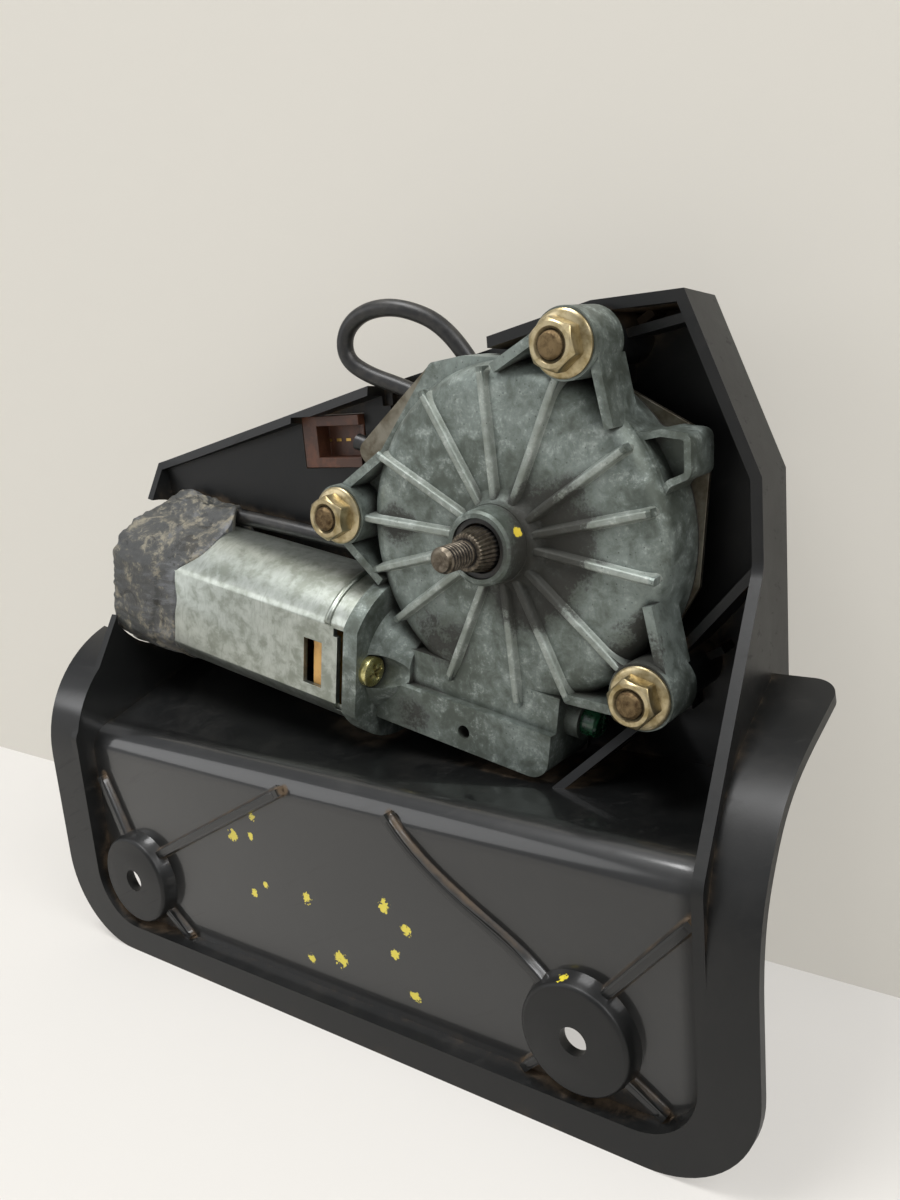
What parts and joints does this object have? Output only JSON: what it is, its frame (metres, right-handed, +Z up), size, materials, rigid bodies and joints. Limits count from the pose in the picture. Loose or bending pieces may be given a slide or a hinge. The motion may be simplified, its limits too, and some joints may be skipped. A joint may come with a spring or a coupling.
{
  "type": "wiper motor",
  "caption": "Windscreen wiper motor: worm-geared electric motor with a splined drive spindle, nutted into a black plastic carrier with two bolt bosses.",
  "frame": {"origin": "centre between the two mounting holes, in the plane of the bosses' front faces", "axes": "-Y out of the front, along the drive spindle and away from the panel, +Z up and square to the line of holes, +X to the right seen from the front, away from the motor can"},
  "size_m": [0.2192, 0.068, 0.1796],
  "materials": {
    "black_plastic": "satin",
    "zinc_nut": "satin",
    "casting": "satin",
    "steel": "satin",
    "dark_steel": "satin",
    "can_steel": "satin",
    "bronze": "satin",
    "seal_rubber": "matt",
    "wheel_plastic": "satin",
    "contact_brass": "satin",
    "board": "matt",
    "amber_plastic": "gloss",
    "gasket": "matt",
    "lacquer_green": "gloss",
    "ferrite": "matt",
    "copper": "satin",
    "carbon": "matt",
    "tape": "matt",
    "cable_black": "satin",
    "brown_plastic": "satin",
    "yellow_zinc": "satin"
  },
  "bodies": {
    "base": {"bracket": "black_plastic", "mounting_studs": "dark_steel", "flange_nuts": "zinc_nut", "ear_sleeves": "steel", "isolators": "seal_rubber", "gear_housing": "casting", "spindle_bushes": "bronze", "spindle_seal": "seal_rubber", "rear_cover_plate": "steel", "cover_gasket": "gasket", "cover_screws": "steel", "contact_carrier": "board", "contact_fingers": "contact_brass", "contact_rivets": "contact_brass", "thrust_plug": "lacquer_green", "thrust_ball": "steel", "motor_can": "can_steel", "field_magnets": "ferrite", "magnet_clips": "steel", "drive_bush": "bronze", "end_bush": "bronze", "bush_retainer": "steel", "brush_plate": "amber_plastic", "brush_boxes": "contact_brass", "carbon_brushes": "carbon", "brush_springs": "steel", "suppression_chokes": "ferrite", "can_screws": "yellow_zinc", "tape_wrap": "tape", "loom_cable": "cable_black", "connector": "brown_plastic", "connector_pins": "contact_brass"},
    "spindle": {"output_spindle": "dark_steel", "spindle_clip": "steel", "thrust_washers": "steel", "wheel_insert": "steel", "worm_wheel": "wheel_plastic", "park_contact_disc": "contact_brass"},
    "armature": {"armature_shaft": "steel", "worm": "dark_steel", "shaft_washers": "board", "lamination_stack": "dark_steel", "armature_windings": "copper", "commutator": "copper", "commutator_core": "board"}
  },
  "joints": [
    {"name": "spindle_spin", "type": "hinge", "parent": "base", "child": "spindle", "pos_m": [0.0447, 0.0204, 0.0997], "axis": [0, 1, 0], "continuous": true},
    {"name": "armature_spin", "type": "hinge", "parent": "base", "child": "armature", "pos_m": [0.03774, 0.0374, 0.06082], "axis": [0.9843, 0, -0.1762], "continuous": true}
  ],
  "couplings": [
    {"joint": "armature_spin", "follows": "spindle_spin", "ratio": 60}
  ]
}
